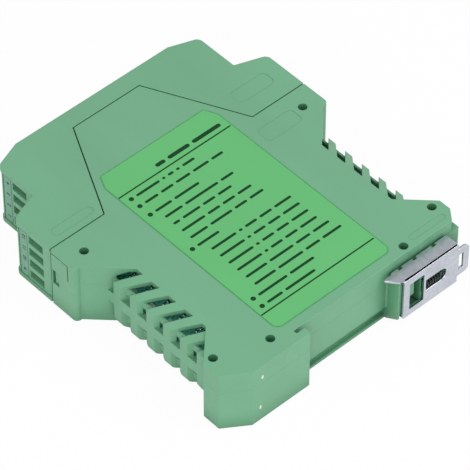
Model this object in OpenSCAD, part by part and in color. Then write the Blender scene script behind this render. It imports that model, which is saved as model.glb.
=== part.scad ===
// Signal isolator for a 35 mm DIN rail: slim moulded housing, sixteen screw clamps, board and rail latch.
// Millimetres. It lies on one broad side: X runs along the rail's width, Y from the rail to the front
// face, Z up through the thickness. The origin is the middle of the side it lies on.

/* [Housing] */
// Depth from the front face to the rail side of the fixed foot
body_d = 111.5; // [106:0.5:124]
// Width over the lower terminal tier
wide_w = 99; // [96:0.5:108]
// Thickness of the two broad sides
plate_t = 1.55; // [1.2:0.05:2.2]
// Thickness of the narrow walls
wall = 1.6; // [1.2:0.1:2]
// Height of the joint between the two lower housing halves
parting_z = 15; // [14.2:0.1:15.8]
// Depth of the parallel skirt below the head
skirt_h = 10.6; // [9.5:0.05:12]
// Width of the bead at the skirt's lower corner
bead_w = 2; // [1.7:0.1:2.4]
// Radius of that bead
bead_r = 1.5; // [1:0.1:1.6]
// Diameter of the pin holes in the cover
pin_hole_d = 2.85; // [2.4:0.05:3.2]
// Clearance around each pin
pin_gap = 0.1; // [0.05:0.05:0.2]
// How far each pin ends below the broad side
pin_sink = 2.6; // [2:0.1:4]
// Corner radius of the outline
corner_r = 0.4; // [0.2:0.05:0.5]

/* [Head] */
// Flat width lost to each sloped brow of the front
brow_run = 9.6; // [8:0.1:11]
// Drop of each sloped brow
brow_drop = 3.5; // [2.5:0.1:4.5]
// Sideways offset between the two tiers
tier_step = 10.2; // [9.8:0.1:11]
// Offset between the two tiers along the depth
tier_rise = 19.2; // [18.6:0.1:20]
// Depth of the lower tier down to the seam
tier_h = 16; // [15.6:0.1:17]
// Thickness of the shelf under each terminal body
shelf_t = 1.3; // [1:0.1:1.5]
// Width of the tongue at its tip
tongue_tip_w = 25.6; // [22:0.2:30]
// Width of the tongue at the seam
tongue_root_w = 57.6; // [54:0.2:62]
// Distance from the tongue's tip to the front face
tongue_gap = 6.5; // [5:0.1:9]
// Width of the fine groove that marks the seam
seam_w = 0.4; // [0.3:0.05:0.5]
// Depth of that groove
seam_depth = 1; // [0.6:0.05:1.1]
// Depth of the shallow moulded recesses in the broad side
dent_depth = 0.12; // [0.1:0.02:0.3]
// Radius of the head's outer corners
head_r = 2.2; // [1.5:0.1:2.5]

/* [Louvres] */
// Number of openings on each side
louvre_n = 6; // [4:1:6]
// Spacing of the blades
louvre_pitch = 7.1; // [6.9:0.05:7.2]
// Width of a blade at its tip
blade_w = 3.05; // [2.8:0.05:3.4]
// Width of a blade at the broad side
blade_root_w = 3.75; // [3.4:0.05:4]
// Width over the blades' tips
blade_tip_w = 84.2; // [83:0.2:85]
// Slant of the blades away from square
blade_slant = 46; // [44:0.2:48]
// Run of the sloping bars from the broad side to the tips
bar_run = 6; // [5.6:0.1:6.4]
// Fall of the bars over that run
blade_fall = 3.9; // [3.4:0.1:4.6]
// Thickness of the sloping bars
bar_t = 1.7; // [1.4:0.1:2]
// Depth of the recesses between the blades
recess_d = 1.3; // [1:0.1:1.6]
// Thickness of the rails that tie the blades
tie_t = 0.7; // [0.6:0.1:1.2]
// Height of the plain band between the upper and lower louvres
band_h = 4.2; // [3.6:0.1:4.8]
// Height of the side windows
window_h = 2.6; // [2:0.1:2.8]

/* [Foot] */
// Width over the feet
foot_w = 91.8; // [90:0.2:94]
// Height of the feet above the rail side
ankle_h = 11.7; // [10.6:0.05:12.4]
// Height of the heel corner
heel_h = 5.35; // [4.5:0.05:6]
// Sideways run of the fixed foot's toe
toe_run = 7.9; // [6:0.1:9]
// Thickness of the fixed rail hook
hook_t = 2.45; // [2.2:0.05:2.8]
// Gap that takes the rail's edge
hook_slot = 1.3; // [1.2:0.05:1.5]
// Height of the square part of the latch's heel
heel_z = 17.8; // [16.6:0.1:19]
// Sideways run of the cut above it
heel_run = 2.9; // [2.2:0.1:3.4]
// Depth of that cut
heel_cut = 3.7; // [3:0.1:4.2]
// Grip of the fixed hook over the rail's edge
hook_grip = 2.3; // [1.8:0.1:2.6]
// Depth of the groove along the foot of the rail recess
groove_depth = 1.6; // [1:0.1:2]
// Width of the rail
rail_w = 35; // [35:0.1:35.4]
// Sideways offset of the rail's middle from the housing's
rail_shift = -0.75; // [-1:0.05:-0.5]

/* [Terminals] */
// Poles in each terminal body
poles = 4; // [4:1:4]
// Spacing of the poles
pole_pitch = 4.85; // [4.7:0.05:5.2]
// Depth of a terminal body from its face
block_d = 10.2; // [9.8:0.1:10.4]
// Set-back of the terminal face from the housing's edge
face_sink = 0.3; // [0.2:0.05:0.6]
// Wire opening along the depth
entry_h = 6.2; // [5.4:0.1:6.4]
// Wire opening along the poles
entry_w = 3.1; // [2.6:0.1:3.3]
// Width of the number strips
marker_w = 2.6; // [2:0.1:2.8]
// Thickness of the number strips
marker_t = 0.9; // [0.7:0.05:1.1]
// Diameter of the clamp screws' heads
screw_head_d = 3.5; // [3:0.1:3.6]
// Diameter of the clamp screws' shanks
screw_d = 2.4; // [2:0.1:2.6]
// Section of the terminal pins
pin_t = 1; // [0.8:0.05:1.1]

/* [Board] */
// Thickness of the board
pcb_t = 1.6; // [1.2:0.1:1.8]
// Clearance between the board and the walls
pcb_gap = 1; // [0.7:0.1:1.5]
// Height of the transformer
transformer_h = 7; // [6:0.1:7.4]
// Diameter of the capacitors
cap_d = 6.3; // [5:0.1:7]
// Height of the capacitors
cap_h = 7.2; // [5:0.1:7.6]
// Diameter of the status lamp
led_d = 3; // [2.6:0.1:3.2]

/* [Label] */
// Width of the label
label_w = 44.6; // [40:0.2:45]
// Length of the label
label_l = 77.8; // [70:0.2:79]
// Thickness of the label
label_t = 0.12; // [0.08:0.02:0.2]
// Radius of the label's lower corners
label_foot_r = 2.4; // [1.5:0.1:4]
// Cut at the label's upper corners
label_cut = 4.6; // [3.5:0.1:6]
// Radius where that cut meets the sides
label_r = 1; // [0.5:0.1:1.2]

/* [Latch] */
// Thickness of the latch's sheet
sheet_t = 0.8; // [0.6:0.05:0.9]
// Height of the latch across the thickness
latch_h = 15.7; // [15:0.1:16.4]
// Length of the latch's face
latch_l = 21.7; // [20.5:0.1:22.5]
// Reach of the hooks under the rail's edge
latch_grip = 2; // [1.6:0.1:2.4]
// Reach of the pull loop past the face
loop_l = 4.4; // [4:0.1:5.5]
// Depth of the latch's channel
latch_d = 5.4; // [5.2:0.1:6]
// Sliding clearance of the latch
slide_gap = 0.3; // [0.25:0.05:0.4]
// Travel of the latch when it is pulled open
latch_travel = 3; // [2.5:0.1:3.2]
// Outer diameter of the spring
spring_d = 3.8; // [3.2:0.1:3.9]
// Thickness of the spring's wire
spring_wire = 0.55; // [0.4:0.05:0.6]
// Turns of the spring
spring_turns = 6.5; // [5:0.5:7]

/* [Hidden] */
$fn = 32;
eps = 0.01;
far = 200;

housing_green = [0.48, 0.69, 0.55];
label_green = [0.42, 0.75, 0.47];
marker_pale = [0.83, 0.88, 0.82];
board_green = [0.03, 0.27, 0.2];
bright_steel = [0.75, 0.77, 0.8];
dark_steel = [0.13, 0.13, 0.14];
tin = [0.72, 0.72, 0.7];
chip_black = [0.08, 0.08, 0.09];
trim_blue = [0.1, 0.3, 0.62];
tape_amber = [0.8, 0.62, 0.2];
lamp_green = [0.35, 0.85, 0.4];

// The thickness follows from the poles and the two broad sides.
body_t = poles * pole_pitch + 2 * plate_t;

// Levels along the depth, from the front to the rail.
y_front = body_d / 2;
y_foot = -body_d / 2;
y_brow = y_front - brow_drop;
y_tier = y_brow - tier_rise;
y_seam = y_tier - tier_h;
y_tongue = y_front - tongue_gap;
y_skirt = y_seam - skirt_h;
y_ankle = y_foot + ankle_h;
y_heel = y_foot + heel_h;
y_hook = y_foot + hook_t;
y_seat = y_hook + hook_slot;
y_cut = y_seat + heel_cut;
brow_slope = brow_drop / brow_run;

// Places across the rail.
x_wide = wide_w / 2;
x_tier = x_wide - tier_step;
x_tip = blade_tip_w / 2;
x_slot = x_tip - bar_run;
x_waist = x_tip - recess_d;
x_inner = x_waist - tie_t;
x_foot = foot_w / 2;
// Slopes that join the waist to the skirt above it and to the feet below it.
function slope_y(x) = y_skirt - x_wide + bead_w + x;
function flare_y(x) = y_ankle + abs(x_foot - x);
y_waist = slope_y(x_tip);
y_flare = flare_y(x_tip);
rail_left = rail_shift - rail_w / 2;
rail_right = rail_shift + rail_w / 2;
x_hook = rail_left + hook_grip;
hook_end = 0.9;
rail_t = 1;

// Holes in the cover and the pins below them.
skirt_pin_in = [6.9, 3.8];
ankle_pin_in = [3.4, 0.2];
heel_pin_x = 25.85;
heel_pin_up = 2.3;
skirt_pin = [x_wide - skirt_pin_in.x, y_skirt + skirt_pin_in.y];
ankle_pin = [x_foot - ankle_pin_in.x, y_ankle - ankle_pin_in.y];
heel_pin = [heel_pin_x, y_seat + heel_pin_up];
boss_d = 4.6;
post_d = 5;
mid_z = body_t / 2;

// Shallow recesses in the broad side, each from one corner to the other, with a corner radius.
dent_r = 1.6;
foot_dent_r = 1.1;
left_dent_x = [-45, -29.9];
left_dent_y = [2.6, 5.9];
right_dent_x = [30, 44];
right_dent_y = [6.3, 11.9];
cover_dent_x = [25.6, 39.4];
cover_dent_y = [10.8, 4.8];
foot_dent_x = [29, 43];
foot_dent_y = [5.7, 8];
cap_dents = [[[left_dent_x[0], y_seam + left_dent_y[0]], [left_dent_x[1], y_seam + left_dent_y[1]], dent_r],
             [[right_dent_x[0], y_seam + right_dent_y[0]], [right_dent_x[1], y_seam + right_dent_y[1]],
              dent_r]];
cover_dents = [[[cover_dent_x[0], y_seam - cover_dent_y[0]], [cover_dent_x[1], y_seam - cover_dent_y[1]],
                dent_r],
               [[foot_dent_x[0], y_foot + foot_dent_y[0]], [foot_dent_x[1], y_foot + foot_dent_y[1]],
                foot_dent_r]];

// How far the label reaches above the seam.
label_rise = 12.1;

// Windows in the base below the seam, and the head's barbs that snap into them with some room all round.
snap_drop = [3.4, 0.7];
snap_y = [y_seam - snap_drop[0], y_seam - snap_drop[1]];
snap_z = [9.2, 14.8];
snap_room = 0.3;
barb_t = 1.4;
barb_l = 5;
barb_sink = 0.5;

// Groove and lip along the foot of the rail recess.
groove_z = [1, 4.7];
groove_lip = groove_depth / 4;
snap_line_drop = 7.6;
snap_line_y = y_seam - snap_line_drop;
snap_margin = 0.9;
snap_line_z = body_t - snap_margin;

// Louvres: slanted openings between blades, alike at both broad sides. blade_y(k) is where a tip starts.
first_gap = 2.55;
function blade_y(k) = y_waist - first_gap - k * louvre_pitch;
function back_y(k, x) = blade_y(k) - (x_tip - x) * tan(blade_slant);
function face_y(k, x) = back_y(k, x) - blade_w - (blade_root_w - blade_w) * (x_tip - x) / bar_run;
function bar_z(x) = body_t - (x - x_slot) * blade_fall / bar_run;
tip_z = body_t - blade_fall;
sill_z = mid_z + band_h / 2;
lintel_z = sill_z + window_h;
tie_sink = 0.3;
tie_z = tip_z - tie_sink;
rib_lip = 0.6;
window_lap = 1.8;
lobe_z = [1.1, 2.8, 5];
lobe_x = [2.6, 0.9];
bar_lap = 1.2;
end_lap = 0.5;

// Terminal bodies, in the frame of the lower right one.
face_x = x_wide - face_sink;
shelf_y = y_seam + shelf_t;
shelf_back = 0.4;
brow_y = y_tier - face_sink - shelf_y;
block_top = brow_y + block_d * brow_slope;
block_back = face_x - tier_step - block_d;
screw_x = -5.2;
entry_y = 2.55;
pocket_x = [-8.3, -2.3];
pocket_y = [2.2, 10.2];
pocket_w = 3.8;
ledge_y = 12;
marker_y = 9.5;
contact_y = 5.6;
pole_gap = 0.1;
bore_room = 0.4;
slot_w = 2.4;
cage_w = 3.5;
cage_wall = 0.5;
cage_floor = 0.6;
cage_room = 0.2;
tunnel_h = 4.6;
head_h = 2;
head_slot = 0.6;
strip_w = 2.2;
strip_lap = 1;
strip_short = 0.5;
tail_over = 0.8;
marker_proud = 0.1;
marker_edge = 0.5;
groove_w = 0.5;
groove_sink = 0.8;
groove_up = 0.7;
groove_y = marker_y + marker_w + groove_up;
pin_step = 1.9;
pin_back = 1.8;
pin_x0 = -block_d - pin_back;
// Inner poles have the shortest tails, so that no tail crosses another.
function pin_tail(i) = pin_x0 - pin_step * (i < poles / 2 ? poles - 2 - 2 * i : 2 * i - poles + 1);
function pole_z(i) = plate_t + (i + 0.5) * pole_pitch;

// Board in the middle of the thickness.
pcb_z = mid_z - pcb_t / 2;
pcb_top = pcb_z + pcb_t;
pcb_foot_gap = 4.4;
pcb_front_gap = 2.9;
pcb_low = y_seat + wall + pcb_foot_gap;
pcb_high = y_front - wall - pcb_front_gap;
pcb_waist_x = x_inner - pcb_gap;
pcb_head_x = x_tier - block_d - face_sink - pcb_gap;
pcb_tier_x = face_x - block_d - pcb_gap;
pcb_step_y = shelf_y + tier_rise - shelf_t - pcb_gap;
pcb_flank = [2, 3];
post_in = 3.2;
post_drop = 1;
post_rise = 3;
post_x = pcb_waist_x - post_in;
post_ys = [y_skirt - post_drop, y_flare + post_rise];
transformer_drop = 2;
transformer_y = y_skirt - transformer_drop;
core_x = 8;
core_y = 7;
yoke_t = 1.8;
leg_x = 2;
coil_t = 1.3;
coil_gap = 0.1;
led_x = -16;
led_lift = 2.2;
led_z = pcb_top + led_lift;
led_hole = 0.3;
wire_t = 0.5;
wire_x = 1;
wire_in = 1.6;

// Other parts on the board: widths, lengths, heights and places.
cap_x = 17;
cap_rise = 4;
cap_drop = 5;
cap_high = y_skirt + cap_rise;
cap_low = y_skirt - cap_drop;
opto_w = 4.6;
opto_l = 6.4;
opto_h = 3.4;
opto_x = 5;
opto_back = 12;
opto_y = y_waist - opto_back;
chip_w = 8.6;
chip_l = 4;
chip_h = 1.6;
chip_x = 12;
chip_back = 25;
chip_y = y_waist - chip_back;
trim_w = 4.8;
trim_l = 9.6;
trim_x = 6;
trim_in = 6;
trim_screw_d = 2.2;
trim_screw_l = 1;
small_w = 1.4;
small_l = 2.2;
small_h = 0.7;
small_n = 8;
small_in = 2.6;
small_row = 2.4;
small_pitch = 4;
small_drop = 5;
small_y = y_waist - small_drop;

// Latch: a channel of folded sheet round a guide on the base.
y_land = y_seat - slide_gap;
latch_low = mid_z - latch_h / 2;
latch_high = mid_z + latch_h / 2;
lip_y = y_land - slide_gap;
latch_y = lip_y - latch_d;
guide_gap = 0.65;
guide_nose = 1.1;
guide_x = rail_right + guide_gap;
latch_x = guide_x + guide_nose;
latch_end = latch_x + latch_l;
loop_inset = [2.3, 2.1];
z_loop = [latch_low + loop_inset[0], latch_high - loop_inset[1]];
loop_cut = [1, 1.5];
loop_in = 0.4;
loop_bar = 2.2;
loop_rim = 2.6;
lip_drop = 1.2;
tab_x = 8.9;
spring_slack = 0.35;
spring_proud = 0.25;
window_end = 1.2;
fold_lip = sheet_t * 0.35;
fold_w = sheet_t * 0.55;
fold_depth = sheet_t * 0.75;
notch_l = 1.3;
notch_x = [2.2, 7.9, 15.5];
guide_high = latch_high - sheet_t - slide_gap;
guide_low = latch_low + sheet_t + slide_gap;
guide_y = latch_y + sheet_t + slide_gap;
neck_y = lip_y - sheet_t - slide_gap;
neck_in = lip_drop + slide_gap;
spring_l = spring_turns * spring_wire + latch_travel + spring_slack;
spring_x = [latch_x + tab_x, latch_x + tab_x + spring_l];
spring_y = latch_y + spring_d / 2 - spring_proud;
spring_back = spring_y + spring_d / 2;
window_r = spring_d / 2 + slide_gap;
tab_h = spring_d - 2 * slide_gap;
pocket_h = 2 * window_r + spring_d / 3;
block_room = 0.2;
block_end = latch_x - slide_gap - block_room;
block_low = latch_low - slide_gap;
eye_run = [2.4, 8.1];
eye_x = [latch_x + eye_run[0], latch_x + eye_run[1]];
eye_inset = [2.2, 2.6];
eye_z = [latch_low + eye_inset[0], latch_high - eye_inset[1]];
// Hook of the latch: its room under the rail's edge, its nose, and how far its root stands out.
rail_gap = 0.15;
hook_nose = 0.5;
hook_root = [0.4, 1, 0.9];
// Hollow of the guide behind the first window, the island in it and the slot at its foot.
eye_rim = 0.5;
eye_depth = 3;
island_w = 3.2;
island_inset = [3.4, 0.8];
island_z = [eye_z[0] + island_inset[0], eye_z[1] - island_inset[1]];
island_sink = 0.6;
slot_in = 2.2;
slot_x = [eye_x[0] + slot_in, eye_x[1] - eye_rim];

// Outline helpers: a list of [x, y] points, counter-clockwise.
function unit(v) = v / norm(v);
function left_of(v) = [-v.y, v.x];
function at(p, i) = p[(i + len(p)) % len(p)];
function flip(p) = [for (i = [len(p) - 1 : -1 : 0])
    len(p[i]) > 2 ? [-p[i].x, p[i].y, p[i].z] : [-p[i].x, p[i].y]];
function spot(p, i) = [at(p, i).x, at(p, i).y];
// Moves every edge of the outline inwards by d.
function inset(p, d) = [for (i = [0 : len(p) - 1])
    let (a = left_of(unit(p[i] - at(p, i - 1))), b = left_of(unit(at(p, i + 1) - p[i])))
    p[i] + d * (a + b) / (1 + a * b)];
// Rounds every corner of the outline in four steps, with radius r or the corner's own third value.
function softened(p, r) = [for (i = [0 : len(p) - 1])
    let (c = spot(p, i), q = len(p[i]) > 2 ? p[i].z : r,
         a = unit(spot(p, i - 1) - c), b = unit(spot(p, i + 1) - c),
         half = acos(a * b) / 2, hub = c + unit(a + b) * q / sin(half),
         from = c + a * q / tan(half) - hub, to = c + b * q / tan(half) - hub)
    for (s = [0 : 4]) hub + q * unit(from * (4 - s) + to * s)];

module slab(p, z0, z1) {
    translate([0, 0, z0])
        linear_extrude(z1 - z0) polygon(p);
}

module box(x, y, z) {
    translate([x[0], y[0], z[0]])
        cube([x[1] - x[0], y[1] - y[0], z[1] - z[0]]);
}

module both_sides() {
    children();
    mirror([1, 0, 0]) children();
}

// Shallow recesses in the upper broad side.
module dents(list) {
    for (d = list)
        slab(softened([d[0], [d[1].x, d[0].y], d[1], [d[0].x, d[1].y]], d[2]), body_t - dent_depth, far);
}

// A profile drawn in X and Z, swept along Y.
module along_y(p, y0, y1) {
    translate([0, y1, 0])
        rotate([90, 0, 0])
            linear_extrude(y1 - y0) polygon(p);
}

module upright(x, y, d, z0, z1) {
    translate([x, y, z0])
        cylinder(d = d, h = z1 - z0);
}

// Right side of the lower housing, from the heel up to the tip of the tongue.
flank = [[x_foot, y_ankle], [x_slot, flare_y(x_slot)], [x_slot, slope_y(x_slot)],
         [x_wide - bead_w, y_skirt], [x_wide, y_skirt, bead_r], [x_wide, y_seam]];
tongue = [[tongue_root_w / 2, y_seam], [tongue_tip_w / 2, y_tongue]];
fixed_foot = [[-x_foot, y_heel], [-x_foot + toe_run, y_foot], [x_hook, y_foot], [x_hook, y_hook],
              [rail_left - hook_end, y_hook], [rail_left - hook_end, y_seat]];
latch_foot = [[guide_x, y_seat], [guide_x, y_land], [x_foot, y_land]];
cut_heel = [[x_foot - heel_run, y_seat], [x_foot, y_cut]];
most_outline = concat(flank, tongue, flip(tongue), flip(flank), fixed_foot);
lower_outline = concat(most_outline, latch_foot);
upper_outline = concat(most_outline, cut_heel);
// The hollow runs on up into the head.
hollow_x = x_inner + wall;
hollow_side = [[x_foot, y_cut], [x_foot, y_ankle], [hollow_x, flare_y(hollow_x)],
               [hollow_x, slope_y(hollow_x)], [x_wide, slope_y(x_wide)], [x_wide, y_front]];
hollow = inset(concat(hollow_side, flip(hollow_side),
                      [[-x_foot + toe_run, y_foot], [x_hook - hook_grip - wall, y_foot],
                       [x_hook - hook_grip - wall, y_seat], cut_heel[0]]), wall);

module at_pins() {
    both_sides()
        for (p = [skirt_pin, ankle_pin, heel_pin])
            translate([p.x, p.y, 0]) children();
}

// Plan of the opening above blade k, from x0 out to x1. The first one lies along the skirt's slope.
function gap_top(k, x) = k == 0 ? slope_y(x) : face_y(k - 1, x);
function gap_plan(k, x0, x1, over) = [[x0, back_y(k, x0)], [x1, back_y(k, x1)],
                                      [x1, gap_top(k, x1) + over], [x0, gap_top(k, x0) + over]];

// Recess between two blades with its side window, and the opening between the sloping bars.
module louvre_gap(k) {
    slab(gap_plan(k, x_waist, x_tip + 1, 0), sill_z, far);
    slab(gap_plan(k, x_inner - eps, x_waist + eps, 0), tie_z, far);
    slab(gap_plan(k, x_inner - 1, x_waist + eps, 0), sill_z, lintel_z);
    box([x_inner - 1, x_waist], [back_y(k, x_waist), gap_top(k, x_waist) + window_lap], [sill_z, lintel_z]);
    slab(gap_plan(k, x_slot, x_inner, k == 0 ? 1 : 0), mid_z, far);
}

module both_faces() {
    children();
    translate([0, 0, body_t]) mirror([0, 0, 1]) children();
}

// Right louvre wall over the whole thickness.
module louvre_wall() {
    profile = [[x_slot - bar_lap, 0], [x_slot, 0], [x_tip - lobe_x[0], lobe_z[0]],
               [x_tip - lobe_x[1], lobe_z[1]], [x_tip, lobe_z[2]], [x_tip, tip_z], [x_slot, body_t],
               [x_slot - bar_lap, body_t], [x_slot - bar_lap, body_t - bar_t], [x_slot, body_t - bar_t],
               [x_inner, bar_z(x_inner) - bar_t], [x_inner, body_t - bar_z(x_inner) + bar_t], [x_slot, bar_t],
               [x_slot - bar_lap, bar_t]];
    x0 = x_slot - bar_lap;
    x1 = x_tip + 1;
    zone = [[x1, flare_y(x1) - end_lap], [x1, slope_y(x1) + end_lap],
            [x0, slope_y(x0) + end_lap], [x0, flare_y(x0) - end_lap]];
    difference() {
        intersection() {
            along_y(profile, y_flare - 3, y_waist + 3);
            slab(zone, -1, far);
        }
        for (k = [0 : louvre_n - 1])
            both_faces() louvre_gap(k);
    }
    both_faces()
        for (ends = [[slope_y(x_slot), slope_y(x_waist), 1], [flare_y(x_slot), flare_y(x_waist), -1]])
            intersection() {
                slab([[x_slot, ends[0]], [x_waist, ends[1]], [x_waist, ends[1] + ends[2] * wall],
                      [x_slot, ends[0] + ends[2] * wall]], 0, body_t - eps);
                along_y([[x_slot, body_t - rib_lip], [x_waist, bar_z(x_waist) - rib_lip], [x_waist, body_t],
                         [x_slot, body_t]], y_flare - far, y_waist + far);
            }
}

module base_shell() {
    color(housing_green) {
        difference() {
            union() {
                difference() {
                    slab(softened(lower_outline, corner_r), 0, parting_z);
                    slab(hollow, plate_t, far);
                }
                box([rail_left - hook_end - wall, guide_x + wall],
                    [y_seat + wall - eps, y_seat + wall + groove_depth], [plate_t - eps, groove_z[1] + wall]);
            }
            both_sides() cap_windows();
            recess_groove();
        }
        intersection() {
            both_sides() louvre_wall();
            box([-far, far], [-far, far], [0, parting_z]);
        }
        at_pins() {
            upright(0, 0, boss_d, plate_t - eps, parting_z);
            upright(0, 0, pin_hole_d - 2 * pin_gap, parting_z - eps, body_t - pin_sink);
        }
        both_sides()
            for (y = post_ys)
                upright(post_x, y, post_d, plate_t - eps, pcb_z);
        latch_guide();
    }
}

// Groove with a lip below it, along the foot of the rail recess.
module recess_groove() {
    x = [rail_left - hook_end, guide_x];
    box(x, [y_hook, y_seat + groove_depth], groove_z);
    box(x, [y_hook, y_seat + groove_lip], [-1, groove_z[0]]);
}

// Holes that the head's barbs snap into.
module cap_windows() {
    box([x_wide - wall - 1, x_wide + 1], snap_y, snap_z);
}

// Guide for the latch, with a groove behind its head for the latch's lips and a pocket for the spring.
module latch_guide() {
    difference() {
        union() {
            box([guide_x, latch_end], [guide_y, y_seat], [guide_low, guide_high]);
            translate([guide_x, 0, 0])
                rotate([90, 0, 90])
                    linear_extrude(block_end - guide_x)
                        polygon([[y_seat, 0], [y_seat, guide_high], [guide_y, guide_high],
                                 [guide_y, block_low]]);
        }
        for (z = [[guide_low - 1, guide_low + neck_in], [guide_high - neck_in, guide_high + 1]])
            box([block_end, latch_end + 1], [neck_y, y_land], z);
        box([spring_x[0] - sheet_t - slide_gap, spring_x[1]], [guide_y - 1, spring_back + slide_gap],
            [mid_z - pocket_h / 2, mid_z + pocket_h / 2]);
        eye_hollow();
        box([guide_x - 1, latch_end + 1], [y_land - pin_gap, y_seat + 1], [parting_z, far]);
    }
}

// Hollow behind the latch's rail-side window, round an island.
module eye_hollow() {
    difference() {
        box([eye_x[0] - eye_rim, eye_x[1] - eye_rim], [guide_y - 1, guide_y + eye_depth],
            [eye_z[0] - eye_rim, eye_z[1] + eye_rim]);
        box([eye_x[0] - 1, eye_x[0] + island_w], [guide_y + island_sink, y_seat], island_z);
    }
    box(slot_x, [guide_y + eye_rim, guide_y + eye_depth - eye_rim / 2], [guide_low - 1, eye_z[0]]);
}

module cover_shell() {
    color(housing_green)
        difference() {
            union() {
                difference() {
                    union() {
                        slab(softened(lower_outline, corner_r), parting_z, heel_z);
                        slab(softened(upper_outline, corner_r), heel_z - eps, body_t);
                    }
                    slab(hollow, -1, body_t - plate_t);
                }
                intersection() {
                    both_sides() louvre_wall();
                    box([-far, far], [-far, far], [parting_z, far]);
                }
                at_pins() upright(0, 0, boss_d, parting_z, body_t - eps);
            }
            at_pins() upright(0, 0, pin_hole_d, 0, far);
            dents(cover_dents);
            both_sides() snap_line();
        }
}

// Fine groove round each snap, upright and along the broad side's edge.
module snap_line() {
    box([x_wide - seam_depth, far], [snap_line_y, snap_line_y + seam_w], [parting_z, snap_line_z]);
    box([x_wide - seam_depth, far], [snap_line_y, y_seam], [snap_line_z - seam_w, snap_line_z]);
}

// Outline of the head's broad sides.
head_side = [[x_wide, y_seam], [x_wide, y_tier, head_r], [x_tier, y_tier + tier_step * brow_slope],
             [x_tier, y_brow, head_r], [x_tier - brow_run, y_front]];

module head_cap() {
    outline = concat([tongue[1], tongue[0]], head_side, flip(head_side), flip([tongue[1], tongue[0]]));
    seam = concat([[x_wide + 1, y_seam - 1], [x_wide + 1, y_seam]], tongue, flip(tongue),
                  [[-x_wide - 1, y_seam], [-x_wide - 1, y_seam - 1]]);
    color(housing_green) {
        difference() {
            slab(softened(outline, corner_r), 0, body_t);
            box([-far, far], [y_seam - 1, y_front - wall], [plate_t, body_t - plate_t]);
            both_sides() box([block_back - pole_gap, far], [0, far], [plate_t, body_t - plate_t]);
            dents(cap_dents);
            for (z = [[-1, seam_depth], [body_t - seam_depth, body_t + 1]])
                slab(inset(seam, -seam_w), z[0], z[1]);
            translate([led_x, y_front + 1, led_z])
                rotate([90, 0, 0]) cylinder(d = led_d + led_hole, h = wall + 2);
        }
        both_sides() {
            terminal_shelf(0);
            terminal_shelf(1);
            cap_barb();
        }
    }
}

// Shelf under a terminal body; tier 0 is the lower one.
module terminal_shelf(tier) {
    x = face_x - tier * tier_step;
    y = shelf_y + tier * tier_rise;
    box([x - block_d, x - (tier == 0 ? 0 : shelf_back)], [y - shelf_t + (tier == 0 ? seam_w : 0), y],
        [plate_t - eps, body_t - plate_t + eps]);
}

// Leg that hangs from the lower shelf and snaps into the base.
module cap_barb() {
    leg = x_wide - wall - snap_room;
    z = [snap_z[0] + snap_room, snap_z[1] - snap_room];
    box([leg - barb_t, leg], [y_seam - barb_l, y_seam + shelf_t / 2], z);
    box([leg - eps, x_wide - barb_sink], [snap_y[0] + snap_room, snap_y[1] - 2 * snap_room], z);
}

// Puts the lower right terminal's pieces at one of the four places.
module at_terminal(side, tier) {
    translate([side * (face_x - tier * tier_step), shelf_y + tier * tier_rise, 0])
        mirror([side < 0 ? 1 : 0, 0, 0])
            children();
}

module at_poles() {
    for (i = [0 : poles - 1])
        translate([0, 0, pole_z(i)]) children();
}

module at_all_terminals() {
    for (side = [-1, 1], tier = [0, 1])
        at_terminal(side, tier) children();
}

module terminal_body() {
    profile = softened([[-block_d, 0], [0, 0], [0, brow_y, head_r - face_sink], [-block_d, block_top]],
                       pole_gap);
    color(housing_green)
        difference() {
            slab(profile, plate_t, body_t - plate_t);
            at_poles() {
                box([pocket_x[1] - eps, 1], [entry_y, entry_y + entry_h], [-entry_w / 2, entry_w / 2]);
                box(pocket_x, pocket_y, [-pocket_w / 2, pocket_w / 2]);
                box([-block_d - 1, pocket_x[0] + eps], [contact_y, contact_y + pin_t + pole_gap],
                    [-slot_w / 2, slot_w / 2]);
                screw_bore(screw_d + bore_room, pocket_y[1] - eps, far);
                screw_bore(screw_head_d + bore_room, ledge_y, far);
            }
            marker_place(1);
            box([-groove_sink, 1], [groove_y, groove_y + groove_w], [plate_t - 1, body_t]);
        }
}

module screw_bore(d, y0, y1) {
    translate([screw_x, y0, 0])
        rotate([-90, 0, 0]) cylinder(d = d, h = y1 - y0);
}

// Room for a number strip, out to a given distance past the terminal's face.
module marker_place(out) {
    box([marker_proud - marker_t, out], [marker_y, marker_y + marker_w],
        [plate_t + marker_edge, body_t - plate_t - marker_edge]);
}

module marker_strip() {
    color(marker_pale) marker_place(marker_proud);
}

module terminal_upper_left() { at_terminal(-1, 1) terminal_body(); }
module terminal_lower_left() { at_terminal(-1, 0) terminal_body(); }
module terminal_upper_right() { at_terminal(1, 1) terminal_body(); }
module terminal_lower_right() { at_terminal(1, 0) terminal_body(); }
module marker_upper_left() { at_terminal(-1, 1) marker_strip(); }
module marker_lower_left() { at_terminal(-1, 0) marker_strip(); }
module marker_upper_right() { at_terminal(1, 1) marker_strip(); }
module marker_lower_right() { at_terminal(1, 0) marker_strip(); }

// Rising cage: a wire tunnel below a threaded roof.
module clamp_cages() {
    color(tin)
        at_all_terminals() at_poles()
            difference() {
                box([pocket_x[0] + cage_room, pocket_x[1] - cage_room],
                    [pocket_y[0], pocket_y[1] - 2 * cage_room], [-cage_w / 2, cage_w / 2]);
                box([-far, far], [pocket_y[0] + cage_floor, pocket_y[0] + cage_floor + tunnel_h],
                    [cage_wall - cage_w / 2, cage_w / 2 - cage_wall]);
                screw_bore(screw_d + pole_gap, pocket_y[0] + 1, far);
            }
}

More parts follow.
